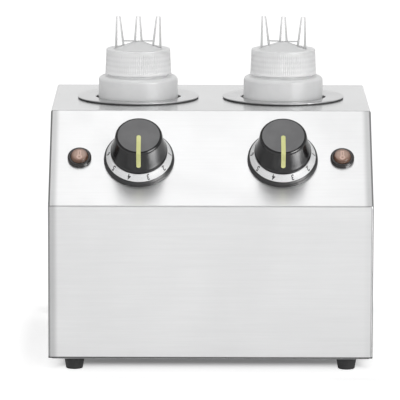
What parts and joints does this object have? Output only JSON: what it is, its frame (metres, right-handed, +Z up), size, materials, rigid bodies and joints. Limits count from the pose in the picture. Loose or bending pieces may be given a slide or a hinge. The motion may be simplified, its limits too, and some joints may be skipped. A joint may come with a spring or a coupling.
{
  "type": "hot fudge topping warmer",
  "caption": "Countertop topping warmer: a brushed steel case with a sloping control panel, heated wells and squeeze bottles with screw collars and nozzles.",
  "frame": {"origin": "middle of the overall box, on the surface that the feet stand on", "axes": "+Z up, +X to the user's right, -Y towards the user, where the control panel slopes"},
  "size_m": [0.32, 0.2874, 0.3323],
  "materials": {
    "amber_lens": "translucent, with a plain thermometer figure",
    "black_gloss": "glossy moulding",
    "black_phenolic": "semi-matt moulding",
    "black_rubber": "matt",
    "brass_terminal": "plain",
    "bright_fastener": "bright plated",
    "brushed_steel": "horizontal brushed grain",
    "clear_glass": "clear",
    "copper_tube": "drawn copper",
    "galvanised_band": "dull plated sheet",
    "lead_sleeve": "woven glass sleeving",
    "polished_steel": "polished",
    "satin_aluminium": "satin",
    "translucent_bottle": "milky translucent polyethylene",
    "translucent_cap": "milky translucent polypropylene",
    "white_ceramic": "white moulding",
    "yellow_pointer": "plain"
  },
  "bodies": {
    "casing": {"casing_shell": "brushed_steel", "rear_panel": "brushed_steel", "base_plate": "brushed_steel", "rear_panel_screws": "bright_fastener", "base_plate_screws": "bright_fastener", "foot_screws": "bright_fastener", "foot_nuts": "bright_fastener", "well_nuts": "bright_fastener", "inlet_screws": "bright_fastener", "thermostat_screws": "bright_fastener", "terminal_screws": "bright_fastener", "earth_stud": "brass_terminal", "inlet_pins": "brass_terminal", "foot_front_left": "black_rubber", "foot_front_right": "black_rubber", "foot_rear_left": "black_rubber", "foot_rear_right": "black_rubber", "well_left": "polished_steel", "well_gasket_left": "black_rubber", "heater_band_left": "galvanised_band", "heater_clamp_screws_left": "bright_fastener", "sensor_tube_left": "copper_tube", "bulb_clip_left": "galvanised_band", "thermal_cutout_left": "black_phenolic", "thermostat_left": "white_ceramic", "dial_bezel_left": "black_phenolic", "dial_ring_left": "satin_aluminium", "lamp_body_left": "black_gloss", "lamp_lens_left": "amber_lens", "lamp_bulb_left": "clear_glass", "well_right": "polished_steel", "well_gasket_right": "black_rubber", "heater_band_right": "galvanised_band", "heater_clamp_screws_right": "bright_fastener", "sensor_tube_right": "copper_tube", "bulb_clip_right": "galvanised_band", "thermal_cutout_right": "black_phenolic", "thermostat_right": "white_ceramic", "dial_bezel_right": "black_phenolic", "dial_ring_right": "satin_aluminium", "lamp_body_right": "black_gloss", "lamp_lens_right": "amber_lens", "lamp_bulb_right": "clear_glass", "lamp_nuts": "black_phenolic", "mains_inlet": "black_gloss", "terminal_block": "white_ceramic", "supply_leads": "lead_sleeve", "circuit_leads": "lead_sleeve"},
    "knob_left_turning": {"knob_left": "black_phenolic", "knob_pointer_left": "yellow_pointer", "thermostat_shaft_left": "bright_fastener"},
    "bottle_left_loose": {"bottle_left": "translucent_bottle"},
    "collar_left_turning": {"collar_left": "translucent_cap"},
    "nozzle_left_lifting": {"nozzle_left": "translucent_cap"},
    "knob_right_turning": {"knob_right": "black_phenolic", "knob_pointer_right": "yellow_pointer", "thermostat_shaft_right": "bright_fastener"},
    "bottle_right_loose": {"bottle_right": "translucent_bottle"},
    "collar_right_turning": {"collar_right": "translucent_cap"},
    "nozzle_right_lifting": {"nozzle_right": "translucent_cap"}
  },
  "joints": [
    {"name": "knob_left_turn", "type": "hinge", "parent": "casing", "child": "knob_left_turning", "pos_m": [-0.071, -0.10023, 0.20665], "axis": [0, 0.6735, -0.7392], "range_deg": [-180, 90]},
    {"name": "bottle_left_lift", "type": "slide", "parent": "casing", "child": "bottle_left_loose", "axis": [0, 0, 1], "range_m": [0, 0.2]},
    {"name": "cap_left_lift", "type": "slide", "parent": "bottle_left_loose", "child": "nozzle_left_lifting", "axis": [0, 0, 1], "range_m": [0, 0.01]},
    {"name": "collar_left_turn", "type": "hinge", "parent": "nozzle_left_lifting", "child": "collar_left_turning", "pos_m": [-0.074, 0.04075, 0.2996], "axis": [0, 0, 1], "range_deg": [0, 720]},
    {"name": "knob_right_turn", "type": "hinge", "parent": "casing", "child": "knob_right_turning", "pos_m": [0.071, -0.10023, 0.20665], "axis": [0, 0.6735, -0.7392], "range_deg": [-180, 90]},
    {"name": "bottle_right_lift", "type": "slide", "parent": "casing", "child": "bottle_right_loose", "axis": [0, 0, 1], "range_m": [0, 0.2]},
    {"name": "cap_right_lift", "type": "slide", "parent": "bottle_right_loose", "child": "nozzle_right_lifting", "axis": [0, 0, 1], "range_m": [0, 0.01]},
    {"name": "collar_right_turn", "type": "hinge", "parent": "nozzle_right_lifting", "child": "collar_right_turning", "pos_m": [0.074, 0.04075, 0.2996], "axis": [0, 0, 1], "range_deg": [0, 720]}
  ],
  "couplings": [
    {"joint": "cap_left_lift", "follows": "collar_left_turn", "m_per_rad": 0.00079577},
    {"joint": "cap_right_lift", "follows": "collar_right_turn", "m_per_rad": 0.00079577}
  ]
}
